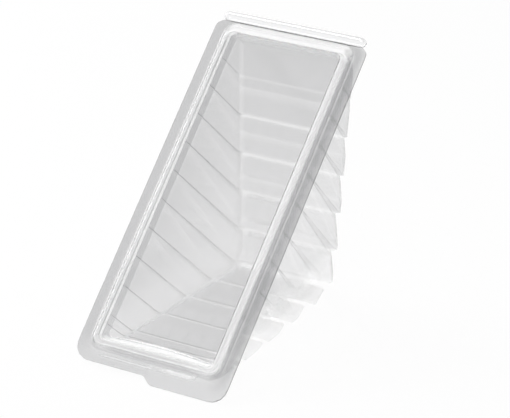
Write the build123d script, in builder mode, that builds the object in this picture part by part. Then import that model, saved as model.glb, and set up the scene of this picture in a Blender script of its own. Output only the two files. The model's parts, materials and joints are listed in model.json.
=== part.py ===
from build123d import *
from math import atan2, cos, degrees, hypot, radians, sin, sqrt, tan
import os

# Clear hinged sandwich wedge, formed from one sheet, closed and empty.
# It is drawn as it lies on its mould: the flange is the XY plane, X runs across the pack,
# Y runs from the fold (Y = 0) to the opening tab, and Z is the depth of the tray, pointing up.
# At the end the closed pack is turned over and stood on its floor, with the lid facing front.

# Sheet and overall sizes, in millimetres
wall = 0.4
pack_width = 78.0
pack_length = 179.4
tab_reach = 3.6
tab_step_start = -3.0
tab_step_end = 3.4
tab_step_radius = 2.4
fold_corner_radius = 4.0
plain_corner_radius = 8.0
tab_corner_radius = 6.5

# Fold: the strip between the two halves, which closes to a small tube
fold_tube_radius = 2.4
fold_tube_length = 73.0

# Lid: a raised bead round a window that sinks into the mouth of the tray
bead_margin = 5.4
bead_margin_fold = 0.8
bead_margin_tab = 6.4
bead_height = 2.0
bead_run = 1.3
bead_width = 4.3
bead_corner_radius = 6.0
bead_edge_radius = 0.8
window_depth = 1.8
window_run = 1.0
window_ramp = 2.6
window_bow = 2.0
window_corner_radius = 2.4
window_edge_radius = 1.2

# Mouth and lip of the tray, under the bead of the lid
mouth_clearance = 2.4
mouth_corner_radius = 5.0
lip_clearance = 0.3
draft_angle = 3.4

# Legs of the tray, at right angles to each other, and the strip that cuts their corner off
leg_back_start = -2.9
leg_floor_end = 179.3
corner_cut = 4.8
leg_corner_radius = 3.0

# Flutes: each starts at a point of the flange and widens with depth between a ledge and a crease
flute_count = 10
flute_pitch = 14.8
flute_middle = 89.4
flute_ledge_slope = 0.10
flute_crease_slope = 0.06
flute_depth_slope = 0.028
first_flute_share = 0.3
end_flute_gap = 4.6
flute_corner_radius = 2.6

half_width = pack_width / 2
fold_edge = 2 * fold_tube_radius
tab_end = pack_length + tab_reach
diagonal = sqrt(0.5)
tray_depth = (leg_floor_end - leg_back_start) / 2 - corner_cut

# Outer foot of the bead, as half width and as distances from the fold
bead_half = half_width - bead_margin
bead_start = fold_edge + bead_margin_fold
bead_end = pack_length - bead_margin_tab
bead_taper = degrees(atan2(bead_run, bead_height))
bead_wall_run = wall / cos(radians(bead_taper))

# Lip of the tray, inside the bead, the groove under the lip, and the mouth inside both
lip_height = bead_height - wall - lip_clearance
lip_offset = bead_wall_run + lip_clearance
lip_half = bead_half - lip_offset
lip_start = bead_start + lip_offset
lip_end = bead_end - lip_offset
groove_offset = lip_offset + bead_wall_run
groove_half = bead_half - groove_offset
groove_start = bead_start + groove_offset
groove_end = bead_end - groove_offset
mouth_half = bead_half - mouth_clearance
mouth_start = bead_start + mouth_clearance
mouth_end = bead_end - mouth_clearance
side_slope = tan(radians(draft_angle))

# Window of the lid, at the top of the bead and at its own panel
window_top_half = bead_half - bead_run - bead_width
window_top_start = bead_start + bead_run + bead_width
window_top_end = bead_end - bead_run - bead_width + window_run


def flange_outline():
    """Closed outline of both flanges: a rectangle with a tab on its right half."""
    with BuildSketch(Plane.XY) as outline:
        with BuildLine():
            Polyline(
                (-half_width, fold_edge - wall),
                (half_width, fold_edge - wall),
                (half_width, tab_end),
                (tab_step_end, tab_end),
                (tab_step_start, pack_length),
                (-half_width, pack_length),
                close=True,
            )
        make_face()
        fold_corners = outline.vertices().group_by(Axis.Y)[0]
        fillet(fold_corners, fold_corner_radius)
        plain_corner = outline.vertices().sort_by_distance((-half_width, pack_length))[0]
        fillet(plain_corner, plain_corner_radius)
        tab_corner = outline.vertices().sort_by_distance((half_width, tab_end))[0]
        fillet(tab_corner, tab_corner_radius)
        step_corners = [
            outline.vertices().sort_by_distance((tab_step_start, pack_length))[0],
            outline.vertices().sort_by_distance((tab_step_end, tab_end))[0],
        ]
        fillet(step_corners, tab_step_radius)
    return outline.sketch


def ring_outline(half, start, end, radius):
    """Rounded rectangle from start to end along the lid."""
    with BuildSketch(Plane.XY) as outline:
        with Locations((0, (start + end) / 2)):
            RectangleRounded(2 * half, end - start, radius)
    return outline.sketch


def window_outline(height, half, start, end, bow):
    """Outline of the window whose lower end is an arc that rises by bow in its middle."""
    with BuildSketch(Plane.XY.offset(height)) as outline:
        with BuildLine():
            Polyline((half, end), (half, start), (-half, start), (-half, end))
            ThreePointArc((-half, end), (0, end - bow), (half, end))
        make_face()
        fillet(outline.vertices(), window_corner_radius)
    return outline.sketch


def window_block(grown, floor_height):
    """Sunk window as a solid: its walls lean in, and its lower end is a longer ramp."""
    with BuildPart() as block:
        top = window_outline(
            -bead_height, window_top_half + grown, window_top_start - grown, window_top_end + grown, 0.2
        )
        panel = window_outline(
            floor_height,
            window_top_half - window_run + grown,
            window_top_start + window_run - grown,
            window_top_end - window_ramp + grown,
            window_bow,
        )
        loft(sections=[top, panel], ruled=True)
        fillet(block.edges().group_by(Axis.Z)[-1], window_edge_radius - wall + grown)
    return block.part


def bead_block(grown):
    """Raised bead as a solid over the whole window, with a rounded edge round its top."""
    run = grown / cos(radians(bead_taper))
    with BuildPart() as block:
        with BuildSketch(Plane.XY):
            add(ring_outline(bead_half + run, bead_start - run, bead_end + run, bead_corner_radius + run))
        extrude(amount=bead_height + grown, dir=(0, 0, -1), taper=bead_taper)
        fillet(block.edges().group_by(Axis.Z)[0], bead_edge_radius + grown)
    return block.part


def leg_point(start, slope, on_back):
    """Where the line that leaves the flange at start, moving by slope with depth, meets a leg."""
    if on_back:
        depth = (start - leg_back_start) / (1 - slope)
    else:
        depth = (leg_floor_end - start) / (1 + slope)
    return start + slope * depth, depth


def flute_core(start, share, on_back, inset):
    """What is left inside one flute: ramps that fall inwards from the crease to the ledge."""
    crease_y, crease_z = leg_point(start, flute_crease_slope, on_back)
    ledge_y, ledge_z = leg_point(start, -flute_ledge_slope, on_back)
    depth_slope = flute_depth_slope * share
    drop = depth_slope * ledge_z * diagonal
    inward = 1 if on_back else -1
    low_y = ledge_y + inward * drop
    low_z = ledge_z - drop
    ramp = hypot(crease_y - low_y, crease_z - low_z)
    along_y = inward * abs(crease_y - low_y) / ramp
    along_z = abs(crease_z - low_z) / ramp
    shifted_y = crease_y + inward * along_z * inset
    shifted_z = crease_z - abs(along_y) * inset
    bottom = shifted_z + fold_edge
    top = tray_depth - shifted_z + fold_edge
    run = along_y / along_z
    far = inward * pack_length
    tilt = depth_slope / (flute_ledge_slope + flute_crease_slope)
    side_half = mouth_half - inset * hypot(1, tilt)
    side_lean = side_slope + tilt * flute_crease_slope
    with BuildPart() as core:
        with BuildSketch(Plane.YZ):
            with BuildLine():
                Polyline(
                    (shifted_y - run * bottom, shifted_z - bottom),
                    (shifted_y + run * top, shifted_z + top),
                    (shifted_y + far, shifted_z + top),
                    (shifted_y + far, shifted_z - bottom),
                    close=True,
                )
            make_face()
        extrude(amount=pack_width, both=True)
        for side in (1, -1):
            lean = Plane(origin=(side * side_half, start, 0), z_dir=(side, -tilt, side_lean))
            split(bisect_by=lean, keep=Keep.BOTTOM)
        ramp_faces = core.faces().sort_by(lambda face: face.center().Y * inward)
        leg_edges = ramp_faces[0].edges().filter_by(Axis.X, reverse=True)
        fillet(leg_edges, flute_corner_radius - inset)
    return core.part


def flute_cutter(start, share, on_back, inset):
    """Space that one flute takes from the body: the slab behind its ledge, outside its core."""
    with BuildPart() as cutter:
        with BuildSketch(Plane.YZ):
            with BuildLine():
                top = tray_depth + fold_edge
                Polyline(
                    (start - inset, 0),
                    (start - inset - flute_ledge_slope * top, top),
                    (start + flute_crease_slope * top + wall, top),
                    (start + wall, 0),
                    close=True,
                )
            make_face()
        extrude(amount=half_width, both=True)
        add(flute_core(start, share, on_back, inset), mode=Mode.SUBTRACT)
    return cutter.part


def fluted_wedge(inset):
    """Body of the tray with every wall moved inwards by inset."""
    shift = inset / diagonal
    depth = tray_depth - inset
    with BuildPart() as body:
        with BuildSketch(Plane.XY):
            add(ring_outline(mouth_half - inset, mouth_start + inset, mouth_end - inset, mouth_corner_radius - inset))
        extrude(amount=depth, taper=draft_angle)
        with BuildSketch(Plane.YZ):
            with BuildLine():
                Polyline(
                    (leg_back_start + shift, 0),
                    (leg_back_start + shift + depth, depth),
                    (leg_floor_end - shift - depth, depth),
                    (leg_floor_end - shift, 0),
                    close=True,
                )
            make_face()
        extrude(amount=half_width, both=True, mode=Mode.INTERSECT)
        mouth_edges = body.edges().group_by(Axis.Z)[0]
        wedge_edges = [edge for edge in body.edges() if edge not in mouth_edges]
        sharp = [edge for edge in wedge_edges if edge.center().Z > depth / 4]
        fillet(sharp, leg_corner_radius - inset)
        for index, start in enumerate(flute_starts):
            share = first_flute_share if index == 0 else 1
            on_back = start < (leg_back_start + leg_floor_end) / 2
            add(flute_cutter(start, share, on_back, inset), mode=Mode.SUBTRACT)
    return body.part


def fold_half(side):
    """Half of the tube that the fold closes to, below or above the flange plane."""
    with BuildPart() as tube:
        with BuildSketch(Plane.YZ):
            with Locations((fold_tube_radius, 0)):
                Circle(fold_tube_radius)
                Circle(fold_tube_radius - wall, mode=Mode.SUBTRACT)
            with Locations((fold_tube_radius, -side * fold_tube_radius)):
                Rectangle(4 * fold_tube_radius, 2 * fold_tube_radius, mode=Mode.SUBTRACT)
        extrude(amount=fold_tube_length / 2, both=True)
    return tube.part


first_start = flute_middle - flute_pitch * (flute_count - 1) / 2
flute_starts = [first_start + flute_pitch * index for index in range(flute_count)]
flute_starts.append(flute_starts[-1] + end_flute_gap)

# Tray: flange, lip, mouth, fluted wedge and its half of the fold
with BuildPart() as tray:
    with BuildSketch(Plane.XY):
        add(flange_outline())
    extrude(amount=wall)
    with BuildSketch(Plane.XY):
        add(ring_outline(lip_half, lip_start, lip_end, bead_corner_radius - lip_offset))
    extrude(amount=lip_height, dir=(0, 0, -1), taper=bead_taper)
    with BuildSketch(Plane.XY):
        add(ring_outline(groove_half, groove_start, groove_end, bead_corner_radius - groove_offset))
    extrude(amount=wall, mode=Mode.SUBTRACT)
    with BuildSketch(Plane.XY):
        add(ring_outline(groove_half, groove_start, groove_end, bead_corner_radius - groove_offset))
    extrude(amount=lip_height - wall, dir=(0, 0, -1), taper=bead_taper, mode=Mode.SUBTRACT)
    with BuildSketch(Plane.XY):
        add(ring_outline(mouth_half, mouth_start, mouth_end, mouth_corner_radius))
    extrude(amount=-lip_height)
    add(fluted_wedge(0))
    with BuildSketch(Plane.XY.offset(-lip_height)):
        add(ring_outline(mouth_half - wall, mouth_start + wall, mouth_end - wall, mouth_corner_radius - wall))
    extrude(amount=lip_height, mode=Mode.SUBTRACT)
    add(fluted_wedge(wall), mode=Mode.SUBTRACT)
    add(fold_half(1))

# Lid: flange, raised bead with a hollow underside, sunk window and its half of the fold
with BuildPart() as lid:
    with BuildSketch(Plane.XY):
        add(flange_outline())
    extrude(amount=-wall)
    add(bead_block(0))
    add(bead_block(-wall), mode=Mode.SUBTRACT)
    add(window_block(wall, window_depth))
    add(window_block(0, window_depth - wall), mode=Mode.SUBTRACT)
    bead_top = lid.faces().filter_by(Axis.Z).sort_by(Axis.Z)[0]
    fillet(bead_top.inner_wires()[0].edges(), bead_edge_radius)
    add(fold_half(-1))

# Standing pose: the pack rests on the tab of the tray and on the first land of its floor
rear_start = [start for start in flute_starts if start > (leg_back_start + leg_floor_end) / 2][0]
rear_y, rear_z = leg_point(rear_start, flute_crease_slope, False)
lid_lean = degrees(atan2(rear_z - wall, tab_end - rear_y))
turned = [piece.part.rotate(Axis.X, 180 + lid_lean) for piece in (tray, lid)]
bounds = turned[0].bounding_box().add(turned[1].bounding_box())
stand = Location((-bounds.center().X, -bounds.center().Y, -bounds.min.Z))

os.makedirs("parts", exist_ok=True)
for name, piece in zip(("tray", "lid"), turned):
    placed = piece.moved(stand)
    placed.label = name
    export_step(placed, f"parts/{name}.step")
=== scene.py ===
import json
import math

import bpy
import numpy as np
from mathutils import Matrix, Vector


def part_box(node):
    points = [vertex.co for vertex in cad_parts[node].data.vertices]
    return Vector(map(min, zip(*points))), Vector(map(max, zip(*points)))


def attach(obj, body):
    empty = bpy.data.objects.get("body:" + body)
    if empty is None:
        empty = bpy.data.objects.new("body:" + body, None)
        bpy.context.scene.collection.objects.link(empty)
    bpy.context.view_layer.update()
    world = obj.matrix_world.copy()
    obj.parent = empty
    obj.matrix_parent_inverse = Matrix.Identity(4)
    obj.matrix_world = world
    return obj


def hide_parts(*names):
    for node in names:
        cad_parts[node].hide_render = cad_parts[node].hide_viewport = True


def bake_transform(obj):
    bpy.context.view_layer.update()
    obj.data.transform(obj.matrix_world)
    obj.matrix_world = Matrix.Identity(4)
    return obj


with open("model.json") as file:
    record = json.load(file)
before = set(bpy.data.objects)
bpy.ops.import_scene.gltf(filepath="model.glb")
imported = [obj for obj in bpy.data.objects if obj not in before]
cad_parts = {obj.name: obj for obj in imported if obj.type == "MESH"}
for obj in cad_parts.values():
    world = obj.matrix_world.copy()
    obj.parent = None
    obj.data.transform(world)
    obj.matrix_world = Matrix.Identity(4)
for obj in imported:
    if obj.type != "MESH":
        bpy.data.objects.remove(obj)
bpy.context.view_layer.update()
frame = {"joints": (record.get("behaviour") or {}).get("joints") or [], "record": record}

bl_info = {
    "name": "Wedge Pack",
    "version": (1, 0, 0),
    "blender": (4, 5, 0),
    "location": "3D View > Sidebar > Wedge Pack",
    "description": "Dresses a clear hinged sandwich wedge: fluted tray, lid with a raised bead, and fold",
    "category": "Add Mesh",
}

MM = 0.001
GAP = 0.03 * MM  # distance of each half from the joint of the flanges
TRIM = 0.25 * MM  # width of the last ring inside the flange's outline
FOLD_HALF = 36.5 * MM  # half of the fold's length

# Rings of the lid: window's wall and bead's outer wall each, bead's top, and flange. Rows of its panel.
WALL_RINGS, TOP_RINGS, RIM_RINGS, PANEL_ROWS = 19, 11, 11, 24
# Points of a lid ring: long side, short side and corner
SIDE_POINTS, END_POINTS, CORNER_POINTS = 81, 49, 11
# Columns of a tray section: side wall, corner and leg
SIDE_COLUMNS, CORNER_COLUMNS, LEG_COLUMNS = 26, 8, 44
# Rows of the tray: end fan, flute's ledge, and plain stretch after the last flute. Rings of its lip's arc.
END_ROWS, LEDGE_ROWS, LAST_ROWS, LIP_RINGS = 22, 9, 8, 10
FOLD_ROWS, FOLD_COLUMNS = 49, 61
HALVINGS = 40  # steps by which the flange's outline is found
# Rings of the tray's flange: share of the way from the lip to the outline, and distance kept from it
FLANGE_RINGS = ((0.35, 0), (0.7, 0), (1, TRIM), (1, 0))

ROUNDING = 0.3  # half length of the parabola at each end of a lid wall, as a share of the wall
# Lean of the bead's outer wall beside the fold: places up the wall, and share of the run reached there
HINGE_LEAN = ((-0.3, 0, 1, 1.3), (-0.1, 0, 1, 1.2))
END_FAN = 6 * MM  # distance from the mouth's ends to the points that the end rows fan from
FIRST_FLUTE_SHARE = 0.3  # depth of the first flute as a share of the others
LEDGE_TURN = 0.012  # change of slope from a ledge's middle to its upper and lower side
LEG_SOFTNESS, END_SOFTNESS = 0.4 * MM, 0.3 * MM  # rounding where the legs, the strip and the end walls meet
FALL_FADE = 8 * MM  # distance over which the side walls' shift starts and ends
LEG_POWER = 30  # sharpness of the change from side wall to leg
DRAWN_GAUGE = 0.5  # thickness that is left in the drawn walls, as a share of the flange's
GAUGE_DEPTH = 1.5 * MM  # depth at which the wall has thinned to that
FOLD_CLOSING = 0.995  # how far the fold's ends close, where one is a point
WELD_REACH, EDGE_WIDTH, EDGE_ANGLE = 0.02 * MM, 0.05 * MM, math.radians(60)

# Looks: least painted highlight that counts, clearness of the lid and of the fold, and each piece's waves:
# their scale and the strength with which they turn the face
LEAST_PAINTED_HIGHLIGHT, LID_CLEARNESS, FOLD_CLEARNESS = 0.26, 0.72, 0.95
TRAY_WAVES, LID_WAVES, FOLD_WAVES = (40.0, 0.10), (10.0, 0.02), (40.0, 0.10)
# Places where the tray's looks change: from back leg to floor leg, from left to right, towards the right
# of the floor leg, and down the side walls towards the floor. The last three are painted light: the right
# side wall is painted one even tone, the floor leg is painted lighter towards its right, and the side walls
# are painted lighter near the floor.
LEG_CHANGE, LEG_CHANGE_RUN = 90 * MM, 4 * MM
RIGHT_WALL, RIGHT_FLOOR, LOWER_WALL, LOWEST_WALL = (
    (-4 * MM, 4 * MM), (8 * MM, 22 * MM), (60 * MM, 30 * MM), (30 * MM, 10 * MM)
)
# Glare on the lower flange: middle, width and the four places across where it comes and goes
WIDE_GLARE = 174.6 * MM, 1.4 * MM, (4, 8, 20, 24)
THIN_GLARE = 175.6 * MM, 0.5 * MM, (-27, -23, 2, 6)

# Name, way from the pack's middle, size and power of each lamp
LAMPS = (
    ("left_lamp", (-0.90, 0.0, 0.43), (0.8, 0.8), 5.0),
    ("right_lamp", (0.25, -0.42, 0.87), (0.8, 0.8), 5.0),
    ("back_lamp", (-0.444, 0.2, 0.87), (0.6, 0.5), 3.6),
)
LAMP_AIM, LAMP_DISTANCE = Vector((0, 0, 0.06)), 1.2

# Camera at the photograph's angle, with a small roll
AZIMUTH, ELEVATION, ROLL = math.radians(28.933), math.radians(23.335), math.radians(1.129)
CAMERA_AIM, CAMERA_DISTANCE = Vector((13.278 * MM, 5.674 * MM, 59.621 * MM)), 1.14803
LENS, SENSOR_WIDTH, CLIP_START = 181.39, 36.0, 0.05

# The pack stands on its floor, so its sheet lies along three directions of the frame:
# x runs across the pack, s runs from the fold down the lid, and t runs from the lid into the tray.
FOLD = np.array(frame["joints"][0]["pos_m"])
PANEL = [mount for mount in frame["record"]["mounts"] if mount["name"] == "label_panel"][0]
ACROSS = np.array([1.0, 0.0, 0.0])
OUT_OF_LID = np.array(PANEL["axis"])
DOWN_LID = np.cross(ACROSS, OUT_OF_LID)

LID_LOW, LID_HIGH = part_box("lid")
HALF_WIDTH = (LID_HIGH.x - LID_LOW.x) / 2


def stand(x, s, t):
    """Points of the frame: fold + x * across + s * down the lid - t * out of the lid."""
    x, s, t = np.broadcast_arrays(x, s, t)
    return FOLD + x[..., None] * ACROSS + s[..., None] * DOWN_LID - t[..., None] * OUT_OF_LID


def length(name, default, description):
    """A size in metres that a user may change."""
    return bpy.props.FloatProperty(
        name=name, description=description, default=default, min=0.0, precision=5, unit="LENGTH"
    )


def place(name, default, description):
    """A place in metres that a user may change, on either side of none."""
    return bpy.props.FloatProperty(
        name=name, description=description, default=default, precision=5, unit="LENGTH"
    )


def number(name, default, description):
    """A plain number that a user may change."""
    return bpy.props.FloatProperty(name=name, description=description, default=default)


def tint(name, default, description):
    """A colour that a user may change."""
    return bpy.props.FloatVectorProperty(
        name=name, description=description, subtype="COLOR", size=4, default=default, min=0, max=1
    )


class WEDGE_PG_sheet(bpy.types.PropertyGroup):
    """Sizes that lid and tray share."""

    wall: length("Wall", 0.4 * MM, "Thickness of the sheet")
    half_width: length("Half width", HALF_WIDTH, "Half of the flange's width")
    fold_edge: length("Fold edge", 4.8 * MM, "Distance from the fold to the flange")
    plain_end: length("Plain end", 179.4 * MM, "Distance from the fold to the flange's plain lower edge")
    tab_reach: length("Tab reach", 3.6 * MM, "How far the opening tab stands out of the lower edge")
    tab_start: place("Tab start", -3.0 * MM, "Where the step of the tab starts, across the pack")
    tab_full: length("Tab full", 3.4 * MM, "Where the step of the tab ends, across the pack")
    fold_corner: length("Fold corner", 4.0 * MM, "Radius of the flange's corners beside the fold")
    plain_corner: length("Plain corner", 8.0 * MM, "Radius of the flange's lower corner without a tab")
    tab_corner: length("Tab corner", 6.5 * MM, "Radius of the flange's lower corner at the tab")


class WEDGE_PG_lid(bpy.types.PropertyGroup):
    """Sizes of the lid's bead and window, as the lid shows them from outside."""

    bead_half: length("Bead half width", 33.6 * MM, "Half of the bead's width at its outer foot")
    bead_start: length("Bead start", 5.6 * MM, "Distance from the fold to the bead's outer foot")
    bead_end: length("Bead end", 173.0 * MM, "Distance from the fold to the bead's lower outer foot")
    bead_corner: length("Bead corner", 6.0 * MM, "Radius of the bead's corner at its outer foot")
    bead_height: length("Bead height", 2.0 * MM, "Height of the bead above the joint of the flanges")
    bead_run: length("Bead run", 1.3 * MM, "How far the bead's outer wall leans in")
    hinge_run: length("Hinge run", 3.9 * MM, "How far the bead's outer wall leans in beside the fold")
    bead_width: length("Bead width", 4.3 * MM, "Width of the bead's top")
    bead_trough: length("Bead trough", 0.25 * MM, "Depth of the hollow along the bead's top")
    window_depth: length("Window depth", 1.4 * MM, "Depth of the window below the joint of the flanges")
    window_run: length("Window run", 1.0 * MM, "How far the window's wall leans in")
    window_ramp: length("Window ramp", 2.0 * MM, "Length of the ramp at the window's lower end")
    window_bow: length("Window bow", 1.6 * MM, "Rise of the arc at the window's lower end")
    window_corner: length("Window corner", 2.4 * MM, "Radius of the window's corner")


class WEDGE_PG_tray(bpy.types.PropertyGroup):
    """Sizes of the tray's inner face."""

    mouth_half: length("Mouth half width", 30.8 * MM, "Half of the mouth's width")
    mouth_start: length("Mouth start", 8.4 * MM, "Distance from the fold to the mouth")
    mouth_end: length("Mouth end", 170.2 * MM, "Distance from the fold to the mouth's lower end")
    mouth_corner: length("Mouth corner", 4.6 * MM, "Radius of the mouth's corners")
    lip_height: length("Lip height", 1.3 * MM, "Height of the lip round the mouth")
    lip_width: length("Lip width", 1.2 * MM, "Width of the lip's top")
    lip_run: length("Lip run", 0.8 * MM, "How far the lip's outer wall leans in")
    leg_start: place("Back leg start", -2.33 * MM, "Where the back leg's plane meets the flange plane")
    leg_end: length("Floor leg end", 178.73 * MM, "Where the floor leg's plane meets the flange plane")
    depth: length("Depth", 85.9 * MM, "Depth of the strip that cuts the legs' corner off")
    draft: number("Draft", 0.0594, "Lean of the side walls, as run over depth")
    leg_corner: length("Leg corner", 2.8 * MM, "Radius between a side wall and a leg")
    flute_first: length("First flute", 22.8 * MM, "Distance from the fold to the first flute")
    flute_pitch: length("Flute pitch", 14.8 * MM, "Distance from flute to flute")
    flute_count: bpy.props.IntProperty(name="Flutes", description="Number of even flutes", default=10)
    side_slope: number("Side slope", 0.03, "How fast the side walls' flutes fall behind those in the legs")
    flute_end_gap: length("End flute gap", 4.6 * MM, "Distance of the small last flute from the one before")
    ledge_slope: number("Ledge slope", 0.10, "How fast a ledge moves towards the fold with depth")
    crease_slope: number("Crease slope", 0.06, "How fast a crease moves away from the fold with depth")
    depth_slope: number("Flute depth", 0.028, "Depth of a flute's ledge over the depth in the tray")


class WEDGE_PG_looks(bpy.types.PropertyGroup):
    """Colours of the clear sheet. A formed sheet is clearest where it was drawn thinnest. The colour also
    carries painted shade and painted light, and white painted highlights lie where it bends sharply."""

    dark_tint: tint("Dark tint", (0.64, 0.64, 0.646, 1.0), "Colour where the clearness is none")
    clear_tint: tint("Clear tint", (0.99, 0.99, 0.992, 1.0), "Colour where the clearness is one")
    shadow_tint: tint("Shadow tint", (0.85, 0.85, 0.854, 1.0), "Colour of light that has passed one face")
    roughness: number("Roughness", 0.07, "Roughness of the sheet")


def smooth_step(value, start, end):
    """Smooth step from 0 to 1 while the value goes from start to end."""
    share = np.clip((value - start) / (end - start), 0, 1)
    return share * share * (3 - 2 * share)


def flange_gap(x, s, sheet):
    """Signed distance to the flange's outline: a rectangle with its own corner radii, whose lower edge
    moves down by the tab's reach along a smooth step."""
    lower = sheet.plain_end + sheet.tab_reach * smooth_step(x, sheet.tab_start, sheet.tab_full)
    low_radius = np.where(x > 0, sheet.tab_corner, sheet.plain_corner)
    radius = np.where(s > sheet.plain_end / 2, low_radius, sheet.fold_corner)
    side = np.abs(x) - sheet.half_width + radius
    end = np.maximum(s - lower, sheet.fold_edge - s) + radius
    outside = np.hypot(np.maximum(side, 0), np.maximum(end, 0))
    return outside + np.minimum(np.maximum(side, end), 0) - radius


def reach_outline(x, s, nx, ns, sheet):
    """Distance from each point along its own direction to the flange's outline, by halving."""
    near = np.zeros_like(x)
    far = np.full_like(x, sheet.half_width)
    for _ in range(HALVINGS):
        middle = (near + far) / 2
        inside = flange_gap(x + nx * middle, s + ns * middle, sheet) < 0
        near = np.where(inside, middle, near)
        far = np.where(inside, far, middle)
    return near


def core_normals(x, s, half, start, end, radius):
    """Direction out of a rounded rectangle at points on it: from the nearest point of its core, which is
    the rectangle less the corner radius on each side."""
    out_x = x - np.clip(x, radius - half, half - radius)
    out_s = s - np.clip(s, start + radius, end - radius)
    size = np.hypot(out_x, out_s)
    return out_x / size, out_s / size


def add_sheet(name, grids, loops, thickness, offset, material, looks, gauge=None):
    """Mesh from grids of points whose rows run side by side: each cell is one quad. A loop closes its rows
    on themselves. Doubled points are merged, and Solidify gives the sheet its wall, which gauge makes
    thinner point by point. Looks are kept per point for the material: clearness with painted shade and
    painted light, painted highlight, and window."""
    points = []
    faces = []
    start = 0
    for grid, closed in zip(grids, loops):
        rows, columns = grid.shape[:2]
        index = start + np.arange(rows * columns).reshape(rows, columns)
        if closed:
            index = np.concatenate([index, index[:, :1]], axis=1)
        quads = np.stack([index[:-1, :-1], index[:-1, 1:], index[1:, 1:], index[1:, :-1]], axis=-1)
        faces.append(quads.reshape(-1, 4))
        points.append(grid.reshape(-1, 3))
        start += rows * columns
    mesh = bpy.data.meshes.new(name)
    mesh.from_pydata(np.concatenate(points), [], np.concatenate(faces))
    mesh.update()
    mesh.shade_smooth()
    # The first look carries painted shade and painted light as well as the tint, and the second is a
    # painted highlight
    for label, shares in zip(("clearness_with_painted_light", "painted_highlight", "window"), looks):
        values = np.concatenate([share.ravel() for share in shares]).astype(np.float32)
        if label == "painted_highlight":
            values[values < LEAST_PAINTED_HIGHLIGHT] = 0
        mesh.attributes.new(label, "FLOAT", "POINT").data.foreach_set("value", values)
    piece = bpy.data.objects.new(name, mesh)
    bpy.context.scene.collection.objects.link(piece)
    weld = piece.modifiers.new("Weld", "WELD")
    weld.merge_threshold = WELD_REACH
    wall = piece.modifiers.new("Wall", "SOLIDIFY")
    wall.thickness = thickness
    wall.offset = offset
    if gauge is not None:
        group = piece.vertex_groups.new(name="gauge")
        levels = np.round(np.concatenate([share.ravel() for share in gauge]), 2)
        for level in np.unique(levels):
            group.add(np.flatnonzero(levels == level).tolist(), float(level), "REPLACE")
        wall.vertex_group = group.name
    edge = piece.modifiers.new("Edge", "BEVEL")
    edge.limit_method = "ANGLE"
    edge.angle_limit = EDGE_ANGLE
    edge.width = EDGE_WIDTH
    edge.segments = 2
    normals = piece.modifiers.new("Normals", "WEIGHTED_NORMAL")
    normals.mode = "FACE_AREA_WITH_ANGLE"
    mesh.materials.append(material)
    return piece


def soft_least(values, softness):
    """Smooth least value: minus softness times the log of the summed exponentials."""
    low = np.minimum.reduce(values)
    return low - softness * np.log(sum(np.exp((low - value) / softness) for value in values))


def u_sections(start, along, into, groove, reach, corner, tray):
    """Cross sections of the tray as U shapes, one a row. Each lies in the plane through the line across the
    pack at start that points in the direction (along, into). Its sides lean in by the draft and the groove,
    its bottom lies at reach, and a tangent arc of radius corner joins them."""
    lean = (tray.draft + groove) * into
    centre_r = reach - corner
    centre_x = tray.mouth_half - lean * centre_r - corner * np.hypot(1, lean)
    first = np.arctan(lean)
    tangent_r = centre_r + corner * np.sin(first)
    side_r = np.linspace(0, 1, SIDE_COLUMNS)[None, :-1] * tangent_r[:, None]
    side_x = tray.mouth_half - lean[:, None] * side_r
    turn = first[:, None] + (math.pi / 2 - first)[:, None] * np.linspace(0, 1, CORNER_COLUMNS)[None, :]
    arc_r = centre_r[:, None] + corner[:, None] * np.sin(turn)
    arc_x = centre_x[:, None] + corner[:, None] * np.cos(turn)
    bottom_x = centre_x[:, None] * np.linspace(1, -1, LEG_COLUMNS)[None, 1:-1]
    bottom_r = np.repeat(reach[:, None], bottom_x.shape[1], axis=1)
    x = np.concatenate([side_x, arc_x, bottom_x, -arc_x[:, ::-1], -side_x[:, ::-1]], axis=1)
    r = np.concatenate([side_r, arc_r, bottom_r, arc_r[:, ::-1], side_r[:, ::-1]], axis=1)
    return x, start[:, None] + along[:, None] * r, into[:, None] * r


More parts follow.
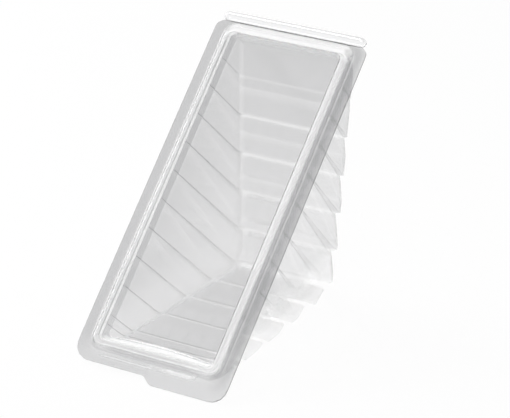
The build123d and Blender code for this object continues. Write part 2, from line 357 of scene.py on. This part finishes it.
def flute_rows(tray):
    """Start, slope, groove share, and nearness to a ledge and to a crease of each row of the tray's
    straight part. A flute fans out of one point: its rows turn from the ledge to the crease, and the groove
    falls from one at the ledge to none."""
    starts = tray.flute_first + tray.flute_pitch * np.arange(tray.flute_count)
    starts = np.append(starts, starts[-1] + tray.flute_end_gap)
    shares = np.where(np.arange(len(starts)) == 0, FIRST_FLUTE_SHARE, 1.0)
    upper, lower = -tray.ledge_slope - LEDGE_TURN, -tray.ledge_slope + LEDGE_TURN
    ledge = np.linspace(0, 1, LEDGE_ROWS)
    ledge_share = smooth_step(ledge, 0, 1)
    # Places of the rows from ledge to crease and from crease to next ledge, closer where the sheet bends
    ramp = np.array([0.02, 0.1, 0.25, 0.4, 0.55, 0.7, 0.85, 0.96, 1])
    between = np.array([0.02, 0.15, 0.35, 0.55, 0.75, 0.95, 0.99])
    rows = []
    last_start, last_slope = tray.mouth_start + END_FAN, 0.0
    for start, share in zip(starts, shares):
        panel = between if rows else np.append(0, between)
        turn = last_slope + (upper - last_slope) * panel
        edge = share * np.interp(panel, (0.95, 0.99), (0, 0.6))
        near = np.interp(panel, (0, 0.15, 0.35), (1, 0.6, 0)) * (len(rows) > 0)
        rows.append([last_start + (start - last_start) * panel, turn, panel * 0, edge, near])
        turn = upper + (lower - upper) * ledge
        edge = share * (0.6 + 0.4 * ledge_share)
        rows.append([start + ledge * 0, turn, share * ledge_share, edge, ledge * 0])
        turn = lower + (tray.crease_slope - lower) * ramp
        edge = share * np.interp(ramp, (0, 0.1, 0.25), (1, 0.7, 0))
        rows.append([start + ramp * 0, turn, share * (1 - ramp), edge, np.interp(ramp, (0.85, 1), (0, 1))])
        last_start, last_slope = start, tray.crease_slope
    panel = np.linspace(0, 1, LAST_ROWS)[1:]
    way = tray.mouth_end - END_FAN - last_start
    rows.append([last_start + way * panel, last_slope * (1 - panel)] + [panel * 0] * 3)
    return np.concatenate([np.array(row) for row in rows], axis=1)


def leg_share(t):
    """Share of the leg at each point of a row: one on the leg, none on the side walls, with a short change
    in the corner between them. It is a high power of the depth over the row's greatest depth."""
    return (t / t.max(axis=1)[:, None]) ** LEG_POWER


def tray_body(tray):
    """Inner face of the fluted wedge as one grid, with each point's nearness to a ledge and to a crease.
    Between the ends its rows run down one side, across a leg and up the other side. At each end the rows
    fan from straight down to the flange plane, so that they follow the end wall and close on the mouth.
    The side walls are shifted down the lid by the side slope times the depth."""
    start, slope, share, ledge, crease = flute_rows(tray)
    groove = tray.depth_slope * share
    diagonal = math.sqrt(2)
    back = (start - tray.leg_start) / (1 - slope + diagonal * groove)
    floor = (tray.leg_end - start) / (1 + slope + diagonal * groove)
    strip = tray.depth / (1 + groove / 2)
    reach = soft_least([back, floor, strip], LEG_SOFTNESS)
    corner = np.full_like(reach, tray.leg_corner)
    x, s, t = u_sections(start, slope, np.ones_like(start), groove, reach, corner, tray)
    fade = np.clip(np.minimum(start - start[0], start[-1] - start) / FALL_FADE, 0, 1)
    s = s + (fade * tray.side_slope)[:, None] * t * (1 - leg_share(t))
    parts = [(x, s, t, ledge[:, None] + t * 0, crease[:, None] + t * 0)]
    turn = np.linspace(0, math.pi / 2, END_ROWS)[1:]
    fold_end = (-1, start[0], tray.mouth_start, tray.leg_start)
    low_end = (1, start[-1], tray.mouth_end, tray.leg_end)
    for way, origin, mouth, leg in (fold_end, low_end):
        angle = turn[::way]
        sine, cosine = np.sin(angle), np.cos(angle)
        to_wall = way * (mouth - origin) / (sine + tray.draft * cosine)
        to_leg = way * (leg - origin) / (sine + cosine)
        reach = soft_least([to_wall, to_leg], END_SOFTNESS)
        corner = tray.leg_corner + (tray.mouth_corner - tray.leg_corner) * sine**2
        end = u_sections(np.full_like(sine, origin), way * sine, cosine, sine * 0, reach, corner, tray)
        end = (*end, end[0] * 0, end[0] * 0)
        parts = [end, *parts] if way < 0 else [*parts, end]
    return tuple(np.concatenate(layers) for layers in zip(*parts))


def boundary(grid):
    """Edge of a grid as one closed loop of its values."""
    return np.concatenate([grid[:-1, 0], grid[-1, :-1], grid[:0:-1, -1], grid[0, :0:-1]])


def lip_profile(tray):
    """Reach and height of the lip's rings: straight up from the mouth, round over the top along an arc, and
    out to its foot."""
    half = tray.lip_width / 2
    arc = [
        (half + half * math.cos(turn), half - tray.lip_height - half * math.sin(turn))
        for turn in np.linspace(math.pi, math.pi / 4, LIP_RINGS)
    ]
    return [(0, 0), *arc, (tray.lip_width + tray.lip_run, 0)]


def tray_grids(sheet, tray):
    """Grids of the tray: its body, and rings from the mouth over the round lip and the flange to the
    outline. Each ring is the mouth's loop moved out along its own normal and up to the profile's height."""
    x, s, t, ledge, crease = tray_body(tray)
    loop_x, loop_s = boundary(x), boundary(s)
    mouth = tray.mouth_half, tray.mouth_start, tray.mouth_end, tray.mouth_corner
    nx, ns = core_normals(loop_x, loop_s, *mouth)
    lip = lip_profile(tray)
    foot = lip[-1][0]
    outline = reach_outline(loop_x, loop_s, nx, ns, sheet)
    out = [nx * 0 + reach for reach, _ in lip]
    out += [foot + (outline - foot) * share - short for share, short in FLANGE_RINGS]
    up = [height for _, height in lip] + [0] * len(FLANGE_RINGS)
    rim_x, rim_s = loop_x + nx * np.array(out), loop_s + ns * np.array(out)
    rim_t = rim_s * 0 + np.array(up)[:, None]
    grids = stand(x, s, t + GAP), stand(rim_x, rim_s, rim_t + GAP)
    gauge = 1 - (1 - DRAWN_GAUGE) * np.clip(t / GAUGE_DEPTH, 0, 1), rim_s * 0 + 1
    # The flange is painted lighter on its right side, as painted light, and half of the light passes
    # straight through the lip
    tray_flange_clear_with_painted_light = np.where(rim_x > 0, 0.6, 0.5)
    rim_window = rim_s * 0 + np.where(np.arange(len(out)) < len(lip), 0.5, 0)[:, None]
    body_looks = tray_looks(x, s, t, grids[0][..., 2], ledge, crease, tray)
    return grids, gauge, tuple(zip(body_looks, (tray_flange_clear_with_painted_light, rim_s * 0, rim_window)))


def tray_looks(x, s, t, height, ledge, crease, tray):
    """Clearness, painted highlight and window of the tray's body. The drawn sheet is clearer with depth. It
    is painted darker at a ledge of the side walls, as painted shade, and lighter at a crease, close above
    the floor and on the floor leg's right side, as painted light; the right side wall is painted one even
    tone. The floor leg's corners carry a white painted highlight. A share of the light passes straight
    through at the legs' ledges and the back leg's creases, on the floor leg's right side, in the legs'
    corners, at the side walls' first, shallow flute and in them close above the floor; at the ledges and
    creases this paints bright lines as painted highlights."""
    leg = leg_share(t)
    wall = 1 - leg
    corner = 4 * leg * wall
    back = np.clip((LEG_CHANGE - s) / LEG_CHANGE_RUN, 0, 1)
    floor = 1 - back
    depth = np.clip(t / tray.depth, 0, 1)
    right = smooth_step(x, *RIGHT_WALL) * wall
    aside = smooth_step(x, *RIGHT_FLOOR)
    low = smooth_step(height, *LOWEST_WALL) * wall
    first_ledge = np.where(ledge <= FIRST_FLUTE_SHARE + 0.01, ledge, 0)
    # Clearness at the mouth, and what depth adds to it. The right side wall's even tone and the lighter
    # tone near the floor are painted light, the darker side-wall ledge is painted shade, and the lighter
    # crease is a painted highlight
    leg_clear_with_painted_light = back * (0.25 + 0.5 * depth) + floor * (0.58 + 0.42 * aside)
    wall_clear_with_painted_light = 0.30 + 0.5 * depth + 0.08 * smooth_step(height, *LOWER_WALL)
    wall_clear_with_painted_light += right * (0.67 - wall_clear_with_painted_light) - 0.25 * ledge + 0.12 * crease
    clearness_with_painted_light = leg * leg_clear_with_painted_light + wall * (wall_clear_with_painted_light + low * (1 - 0.25 * ledge - wall_clear_with_painted_light))
    # Shares of the light that pass straight through, first on the back leg and then on the floor leg:
    # bright lines at the ledges and creases are painted highlights, and the lighter floor leg's right side,
    # corners and walls near the floor are painted light
    window = back * (leg * (ledge + 0.4 * crease) + 0.22 * corner)
    window += floor * (leg * (0.95 * ledge + 0.8 * aside) + 0.2 * corner)
    window += low * (0.1 + 0.8 * right) + wall * 2 * first_ledge
    # The floor leg's corners get a white painted highlight
    return np.clip(clearness_with_painted_light, 0, 1), 0.35 * corner * floor, np.clip(window, 0, 1)


def soft_ramp(share, width):
    """Ramp from none at 0 to one at 1, with a parabola of half length width in place of each corner."""
    share = np.clip(share, -width, 1 + width)
    low = np.where(share < width, (share + width) ** 2 / (4 * width), share)
    return np.where(share > 1 - width, 1 - (1 + width - share) ** 2 / (4 * width), low)


def ring_loop(half, start, end, radius, bow):
    """Rounded rectangle as a closed loop of points, with its lower edge raised by bow times one minus the
    square of the place across. Straight sides and corners keep their counts, so that loops of any size
    match."""
    side = np.linspace(0, 1, SIDE_POINTS)[:-1]
    across = np.linspace(0, 1, END_POINTS)[:-1]
    quarter = np.linspace(0, math.pi / 2, CORNER_POINTS)[:-1]
    top, low = start + radius, end - radius
    inner = half - radius
    x = np.concatenate([
        half + side * 0, inner + radius * np.cos(quarter), inner - 2 * inner * across,
        -inner - radius * np.sin(quarter), -half + side * 0, -inner - radius * np.cos(quarter),
        -inner + 2 * inner * across, inner + radius * np.sin(quarter),
    ])
    s = np.concatenate([
        top + (low - top) * side, low + radius * np.sin(quarter), end + across * 0,
        low + radius * np.cos(quarter), low + (top - low) * side, top - radius * np.sin(quarter),
        start + across * 0, top - radius * np.cos(quarter),
    ])
    rise = bow * (1 - (x / half) ** 2) * np.clip((s - low) / radius, 0, 1)
    return x, s - rise


def lid_profile(sheet, lid):
    """Rings of the lid from the window's foot to the bead's outer foot: half width, start, end, corner
    radius, t and bow of the lower edge of each. The window's wall and the bead's outer wall are ramps with
    rounded ends, whose share runs past none and one by the rounding. The bead's top between them is
    hollowed by a squared sine."""
    height = lid.bead_height
    top_half = lid.bead_half - lid.bead_run
    top_start, top_end = lid.bead_start + lid.bead_run, lid.bead_end - lid.bead_run
    rings = []
    fall = lid.window_depth + height
    shares = np.linspace(1 + ROUNDING, -ROUNDING, WALL_RINGS)
    for share, depth in zip(shares, soft_ramp(shares, ROUNDING)):
        rings.append((
            top_half - lid.bead_width - lid.window_run * share,
            top_start + lid.bead_width + lid.window_run * share,
            top_end - lid.bead_width + lid.window_run - lid.window_ramp * share,
            lid.window_corner,
            depth * fall - height,
            lid.window_bow * max(share, 0),
        ))
    inner, outer = lid.bead_width - ROUNDING * lid.window_run, ROUNDING * lid.bead_run
    inner_low = lid.bead_width - lid.window_run - ROUNDING * lid.window_ramp
    inner_start = top_start + inner
    outer_start = lid.bead_start + HINGE_LEAN[1][-1] * lid.hinge_run
    for share in np.linspace(0, 1, TOP_RINGS + 2)[1:-1]:
        inset = inner + (outer - inner) * share
        rings.append((
            top_half - inset,
            inner_start + (outer_start - inner_start) * share,
            top_end - inner_low - (outer - inner_low) * share,
            lid.bead_corner - lid.bead_run - inset / 2,
            lid.bead_trough * math.sin(math.pi * share) ** 2 - height,
            0,
        ))
    shares = np.linspace(-ROUNDING, 1 + ROUNDING, WALL_RINGS)
    leans = np.interp(1 - shares, *HINGE_LEAN)
    for share, depth, lean in zip(shares, soft_ramp(shares, ROUNDING), leans):
        inset = lid.bead_run * (1 - share)
        rings.append((
            lid.bead_half - inset,
            lid.bead_start + lid.hinge_run * lean,
            lid.bead_end - inset,
            lid.bead_corner - inset,
            (height - sheet.wall) * depth - height,
            0,
        ))
    return rings


def lid_grids(sheet, lid):
    """Grids of the lid's outer face: rings from the window over the bead and the flange to the outline, and
    the window's panel, whose rows shrink to its middle line."""
    profile = lid_profile(sheet, lid)
    loops = [ring_loop(half, start, end, radius, bow) for half, start, end, radius, _, bow in profile]
    x, s = (np.array(points) for points in zip(*loops))
    t = x * 0 + np.array([ring[4] for ring in profile])[:, None]
    nx, ns = core_normals(x[-1], s[-1], lid.bead_half, lid.bead_start, lid.bead_end, lid.bead_corner)
    outline = reach_outline(x[-1], s[-1], nx, ns, sheet)
    shares = np.append(np.linspace(0.1, 1, RIM_RINGS - 1), 1)[:, None]
    short = np.append(np.zeros(RIM_RINGS - 2), (TRIM, 0))[:, None]
    reach = outline * shares - short
    x = np.concatenate([x, x[-1] + nx * reach])
    s = np.concatenate([s, s[-1] + ns * reach])
    t = np.concatenate([t, reach * 0 - sheet.wall])
    half, start, end = profile[0][:3]
    middle_s = np.clip(s[0], start + half, end - half)
    shrink = np.linspace(0, 1, PANEL_ROWS)[:, None]
    panel_x, panel_s = x[0] * shrink, middle_s + (s[0] - middle_s) * shrink
    grids = stand(x, s, t - GAP), stand(panel_x, panel_s, lid.window_depth - GAP)
    plain = panel_x * 0
    return grids, tuple(zip(lid_looks(x, s, t, nx, ns), (plain + LID_CLEARNESS, plain, plain)))


def over_rings(count, rings, values):
    """Column of values, one a ring, that run straight between the values at the given rings."""
    return np.interp(np.arange(count), rings, values)[:, None]


def streak(x, s, middle, width, across):
    """Streak across the flange: a bell curve down the lid, which comes and goes at four places across,
    given in millimetres."""
    return np.exp(-((s - middle) / width) ** 2) * np.interp(x, np.array(across) * MM, (0, 1, 1, 0))


def lid_looks(x, s, t, nx, ns):
    """Clearness, painted highlight and window of the lid's rings. Steep walls at the sides are painted
    darker, as painted shade, and so is the bead's outer foot at the right and at the lower end. The flange
    is painted lighter to the right and towards the lower end, as painted light. The window's wall, the
    edges of the bead's top and the wall beside the fold carry white painted highlights, and two streaks on
    the lower flange are painted glare."""
    side, right, low, hinge = np.abs(nx), np.maximum(nx, 0), np.maximum(ns, 0), np.maximum(-ns, 0)
    rise, run = np.gradient(t[:, 0]), np.gradient(x[:, 0])
    steep = (np.abs(rise) / np.hypot(rise, run))[:, None]
    # Rings 0 to 18 are the window's wall, 19 to 29 the bead's top, 30 to 48 its outer wall, then the flange
    count = len(x)
    foot = 2 * WALL_RINGS + TOP_RINGS - 1
    on_rim = over_rings(count, (foot, foot + 1), (0, 1))
    # The flange is painted lighter to the right and towards the lower end: painted light
    lid_flange_clear_with_painted_light = 0.53 + 0.17 * right + 0.37 * low
    # Steep walls at the sides are painted darker: painted shade
    clearness_with_painted_light = LID_CLEARNESS - 0.5 * steep * side + on_rim * (lid_flange_clear_with_painted_light - LID_CLEARNESS)
    # The bead's outer foot is painted darker at the right and at the lower end: painted shade
    clearness_with_painted_light -= over_rings(count, (38, 42, 52, 57), (0, 0.5, 0.45, 0)) * right
    clearness_with_painted_light -= over_rings(count, (34, 38, foot, foot + 1), (0, 0.35, 0.35, 0)) * low
    # White painted highlights on the window's wall, the bead's top edges and the wall beside the fold, and
    # painted glare on the lower flange
    ramp = over_rings(count, (3, 7, 12, 18), (0, 1, 1, 0))
    top = over_rings(count, (17, 19, 22, 26, 29, 32), (0, 1, 0.6, 0.6, 1, 0))
    wall = over_rings(count, (28, 32, 43, foot), (0, 1, 1, 0))
    painted_highlight = ramp * (0.85 * low + 0.3 * hinge + 0.4 * right)
    painted_highlight += top * (0.36 * side + 0.12 * right + 0.46 * hinge + 0.46 * low)
    painted_highlight += wall * 0.6 * hinge
    glare = 0.95 * streak(x, s, *WIDE_GLARE) + 0.8 * streak(x, s, *THIN_GLARE)
    painted_highlight = np.minimum(painted_highlight, 0.9) + on_rim * glare
    return clearness_with_painted_light, painted_highlight, x * 0


def fold_grid(sheet):
    """Grid of the fold: a tube beside the fold's line, open towards the flanges by the sheet's thickness,
    whose radius falls along a quarter ellipse at each end. Its rows turn about the tube's middle, and its
    columns run across the pack, closer at the ends."""
    radius = sheet.fold_edge / 2
    tube = radius - sheet.wall / 2
    first = math.asin(sheet.wall / 2 / tube)
    turn = np.linspace(first, 2 * math.pi - first, FOLD_ROWS)[:, None]
    x = FOLD_HALF * np.sin(np.linspace(-1, 1, FOLD_COLUMNS)[None, :] * math.pi / 2)
    beyond = np.clip((np.abs(x) - FOLD_HALF + radius) / radius, 0, FOLD_CLOSING)
    tube = tube * np.sqrt(1 - beyond**2)
    return stand(x, radius + tube * np.cos(turn), -tube * np.sin(turn))


def feed(links, value, socket):
    """Set a socket to a number or colour, or link another socket to it."""
    if isinstance(value, bpy.types.NodeSocket):
        links.new(value, socket)
    else:
        socket.default_value = value


def mix_shaders(nodes, links, share, first, second):
    """Mix of two shaders, with a share of the second."""
    mix = nodes.new("ShaderNodeMixShader")
    feed(links, share, mix.inputs["Fac"])
    links.new(first, mix.inputs[1])
    links.new(second, mix.inputs[2])
    return mix.outputs["Shader"]


def combine(nodes, links, operation, first, second):
    """Result of a sum on two sockets, or on a socket and a number."""
    node = nodes.new("ShaderNodeMath")
    node.operation = operation
    links.new(first, node.inputs[0])
    feed(links, second, node.inputs[1])
    return node.outputs["Value"]


def coloured(nodes, kind, colour):
    """Plain shader of a kind in one colour."""
    shader = nodes.new(kind)
    shader.inputs["Color"].default_value = colour
    return shader.outputs[0]


def point_value(nodes, label):
    """Socket with the piece's own value of this label at each point."""
    node = nodes.new("ShaderNodeAttribute")
    node.attribute_name = label
    return node.outputs["Fac"]


def clear_sheet(name, looks, waves_scale, waves_strength):
    """Clear formed plastic: a transmitting shader whose colour goes from dark to clear tint by the piece's
    clearness, which carries painted shade and painted light as well as the sheet's tint, and whose face is
    drawn into long shallow waves. Where the piece has a painted highlight, a white share that scatters the
    light on both sides paints it, and where it has window, a share passes straight through without tint or
    reflection. Light for shadows passes through, weakened by the tint."""
    material = bpy.data.materials.new(name)
    material.use_nodes = True
    nodes, links = material.node_tree.nodes, material.node_tree.links
    shader = nodes["Principled BSDF"]
    # The colour runs from dark to clear tint by clearness, which carries painted shade and painted light as
    # well as the sheet's tint
    ramp = nodes.new("ShaderNodeMixRGB")
    ramp.inputs["Color1"].default_value = looks.dark_tint
    ramp.inputs["Color2"].default_value = looks.clear_tint
    links.new(point_value(nodes, "clearness_with_painted_light"), ramp.inputs["Fac"])
    links.new(ramp.outputs["Color"], shader.inputs["Base Color"])
    shader.inputs["Roughness"].default_value = looks.roughness
    shader.inputs["IOR"].default_value = 1.57
    shader.inputs["Transmission Weight"].default_value = 1.0
    spot = nodes.new("ShaderNodeTexCoord")
    waves = nodes.new("ShaderNodeTexNoise")
    waves.inputs["Scale"].default_value = waves_scale
    waves.inputs["Detail"].default_value = 2.0
    bump = nodes.new("ShaderNodeBump")
    bump.inputs["Strength"].default_value = waves_strength
    bump.inputs["Distance"].default_value = 0.2 * MM
    links.new(spot.outputs["Object"], waves.inputs["Vector"])
    links.new(waves.outputs["Fac"], bump.inputs["Height"])
    links.new(bump.outputs["Normal"], shader.inputs["Normal"])
    # White diffuse and translucent share, mixed in point by point: a painted highlight
    front = coloured(nodes, "ShaderNodeBsdfDiffuse", (1, 1, 1, 1))
    back = coloured(nodes, "ShaderNodeBsdfTranslucent", (1, 1, 1, 1))
    painted_highlight_shader = mix_shaders(nodes, links, 0.4, front, back)
    sheet = mix_shaders(nodes, links, point_value(nodes, "painted_highlight"), shader.outputs["BSDF"], painted_highlight_shader)
    # Untinted share that passes straight through; on the tray it paints bright lines and lighter patches as
    # painted light
    clear = coloured(nodes, "ShaderNodeBsdfTransparent", (1, 1, 1, 1))
    sheet = mix_shaders(nodes, links, point_value(nodes, "window"), sheet, clear)
    shadow = coloured(nodes, "ShaderNodeBsdfTransparent", looks.shadow_tint)
    path = nodes.new("ShaderNodeLightPath")
    sheet = mix_shaders(nodes, links, path.outputs["Is Shadow Ray"], sheet, shadow)
    links.new(sheet, nodes["Material Output"].inputs["Surface"])
    return material


class WEDGE_OT_tray(bpy.types.Operator):
    """Add the fluted tray with its lip and flange"""

    bl_idname = "wedge.tray"
    bl_label = "Tray"

    def execute(self, context):
        scene = context.scene
        grids, gauge, looks = tray_grids(scene.wedge_sheet, scene.wedge_tray)
        material = clear_sheet("clear_tray_sheet", scene.wedge_looks, *TRAY_WAVES)
        wall = scene.wedge_sheet.wall
        piece = add_sheet("tray_sheet", grids, [False, True], wall, 1.0, material, looks, gauge)
        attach(piece, "tray_body")
        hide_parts("tray")
        return {"FINISHED"}


class WEDGE_OT_lid(bpy.types.Operator):
    """Add the lid with its bead and window"""

    bl_idname = "wedge.lid"
    bl_label = "Lid"

    def execute(self, context):
        scene = context.scene
        grids, looks = lid_grids(scene.wedge_sheet, scene.wedge_lid)
        material = clear_sheet("clear_lid_sheet", scene.wedge_looks, *LID_WAVES)
        wall = scene.wedge_sheet.wall
        piece = add_sheet("lid_sheet", grids, [True, True], wall, -1.0, material, looks)
        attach(piece, "lid_body")
        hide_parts("lid")
        return {"FINISHED"}


class WEDGE_OT_fold(bpy.types.Operator):
    """Add the fold that joins lid and tray"""

    bl_idname = "wedge.fold"
    bl_label = "Fold"

    def execute(self, context):
        scene = context.scene
        grid = fold_grid(scene.wedge_sheet)
        material = clear_sheet("clear_fold_sheet", scene.wedge_looks, *FOLD_WAVES)
        plain = grid[..., 0] * 0
        looks = [plain + FOLD_CLEARNESS], [plain], [plain]
        piece = add_sheet("fold_strip", [grid], [False], scene.wedge_sheet.wall, 0.0, material, looks)
        near, far = stand(0.0, 0.0, 0.5 * MM), stand(0.0, 0.0, -0.5 * MM)
        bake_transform(piece)
        return {"FINISHED"}


class WEDGE_OT_stage(bpy.types.Operator):
    """Add the floor, the lamps, the world and the camera"""

    bl_idname = "wedge.stage"
    bl_label = "Stage"

    def execute(self, context):
        add_floor()
        add_world()
        for lamp in LAMPS:
            add_lamp(*lamp)
        add_camera()
        context.scene.view_settings.view_transform = "Standard"
        return {"FINISHED"}


def seen_directly(nodes, links):
    """One for camera, gloss and transmission rays, and none for the rays that light a surface."""
    path = nodes.new("ShaderNodeLightPath")
    seen = path.outputs["Is Camera Ray"]
    for kind in ("Is Transmission Ray", "Is Glossy Ray"):
        seen = combine(nodes, links, "MAXIMUM", seen, path.outputs[kind])
    return seen


def add_floor():
    """Pale floor that camera, gloss and transmission see as white paper and that keeps a faint shadow."""
    bpy.ops.mesh.primitive_plane_add(size=8.0, location=(0, 0, 0))
    floor = bpy.context.object
    floor.name = "floor"
    material = bpy.data.materials.new("white_paper")
    material.use_nodes = True
    nodes, links = material.node_tree.nodes, material.node_tree.links
    paper = nodes["Principled BSDF"]
    paper.inputs["Base Color"].default_value = (0.9, 0.9, 0.9, 1)
    paper.inputs["Roughness"].default_value = 0.9
    glow = nodes.new("ShaderNodeEmission")
    glow.inputs["Strength"].default_value = 1.0
    share = combine(nodes, links, "MULTIPLY", seen_directly(nodes, links), 0.9)
    mix = mix_shaders(nodes, links, share, paper.outputs["BSDF"], glow.outputs["Emission"])
    links.new(mix, nodes["Material Output"].inputs["Surface"])
    floor.data.materials.append(material)


def fade(nodes, start, end, first, last):
    """Smooth step from first to last while its value goes from start to end."""
    step = nodes.new("ShaderNodeMapRange")
    step.interpolation_type = "SMOOTHSTEP"
    step.inputs["From Min"].default_value = start
    step.inputs["From Max"].default_value = end
    step.inputs["To Min"].default_value = first
    step.inputs["To Max"].default_value = last
    return step


def add_world():
    """World that is white to the camera. For light, gloss and what the sheet lets through it is a studio:
    white paper up to a low height all round, soft grey above, and a darker side to the right."""
    world = bpy.data.worlds.new("studio")
    world.use_nodes = True
    nodes, links = world.node_tree.nodes, world.node_tree.links
    soft = nodes["Background"]
    spot = nodes.new("ShaderNodeTexCoord")
    split = nodes.new("ShaderNodeSeparateXYZ")
    rise = fade(nodes, 0.30, 0.55, 1.0, 0.40)
    right = fade(nodes, 0.62, 0.86, 1.0, 0.5)
    links.new(spot.outputs["Generated"], split.inputs["Vector"])
    links.new(split.outputs["Z"], rise.inputs["Value"])
    links.new(split.outputs["X"], right.inputs["Value"])
    grey = combine(nodes, links, "MULTIPLY", rise.outputs["Result"], right.outputs["Result"])
    links.new(grey, soft.inputs["Color"])
    white = coloured(nodes, "ShaderNodeBackground", (1, 1, 1, 1))
    path = nodes.new("ShaderNodeLightPath")
    mix = mix_shaders(nodes, links, path.outputs["Is Camera Ray"], soft.outputs["Background"], white)
    links.new(mix, nodes["World Output"].inputs["Surface"])
    bpy.context.scene.world = world


def add_lamp(name, way, size, power):
    """Soft lamp that lies along a way from the pack's middle and points back at it."""
    light = bpy.data.lights.new(name, "AREA")
    light.shape = "RECTANGLE"
    light.size, light.size_y = size
    light.energy = power
    lamp = bpy.data.objects.new(name, light)
    way = Vector(way).normalized()
    lamp.location = LAMP_AIM + way * LAMP_DISTANCE
    lamp.rotation_euler = (-way).to_track_quat("-Z", "Y").to_euler()
    bpy.context.scene.collection.objects.link(lamp)


def add_camera():
    """Camera at the photograph's angle: azimuth to the right, elevation above the floor, small roll."""
    flat = math.cos(ELEVATION)
    back = Vector((math.sin(AZIMUTH) * flat, -math.cos(AZIMUTH) * flat, math.sin(ELEVATION)))
    camera = bpy.data.objects.new("camera", bpy.data.cameras.new("camera"))
    camera.data.lens = LENS
    camera.data.sensor_width = SENSOR_WIDTH
    camera.data.clip_start = CLIP_START
    turn = (-back).to_track_quat("-Z", "Y").to_matrix().to_4x4() @ Matrix.Rotation(ROLL, 4, "Z")
    camera.matrix_world = Matrix.Translation(CAMERA_AIM + back * CAMERA_DISTANCE) @ turn
    bpy.context.scene.collection.objects.link(camera)
    bpy.context.scene.camera = camera


class WEDGE_PT_panel(bpy.types.Panel):
    """Pieces of the pack and its stage"""

    bl_idname = "WEDGE_PT_panel"
    bl_label = "Wedge Pack"
    bl_space_type = "VIEW_3D"
    bl_region_type = "UI"
    bl_category = "Wedge Pack"

    def draw(self, context):
        for step in STEPS:
            self.layout.operator(step)


STEPS = ("wedge.tray", "wedge.lid", "wedge.fold", "wedge.stage")
GROUPS = {
    "wedge_sheet": WEDGE_PG_sheet,
    "wedge_lid": WEDGE_PG_lid,
    "wedge_tray": WEDGE_PG_tray,
    "wedge_looks": WEDGE_PG_looks,
}
CLASSES = (*GROUPS.values(), WEDGE_OT_tray, WEDGE_OT_lid, WEDGE_OT_fold, WEDGE_OT_stage, WEDGE_PT_panel)


def register():
    for part in CLASSES:
        bpy.utils.register_class(part)
    for name, group in GROUPS.items():
        setattr(bpy.types.Scene, name, bpy.props.PointerProperty(type=group))


def unregister():
    for name in GROUPS:
        delattr(bpy.types.Scene, name)
    for part in reversed(CLASSES):
        bpy.utils.unregister_class(part)


def main():
    register()
    bpy.ops.wedge.tray()
    bpy.ops.wedge.lid()
    bpy.ops.wedge.fold()
    bpy.ops.wedge.stage()


if __name__ == "__main__":
    main()
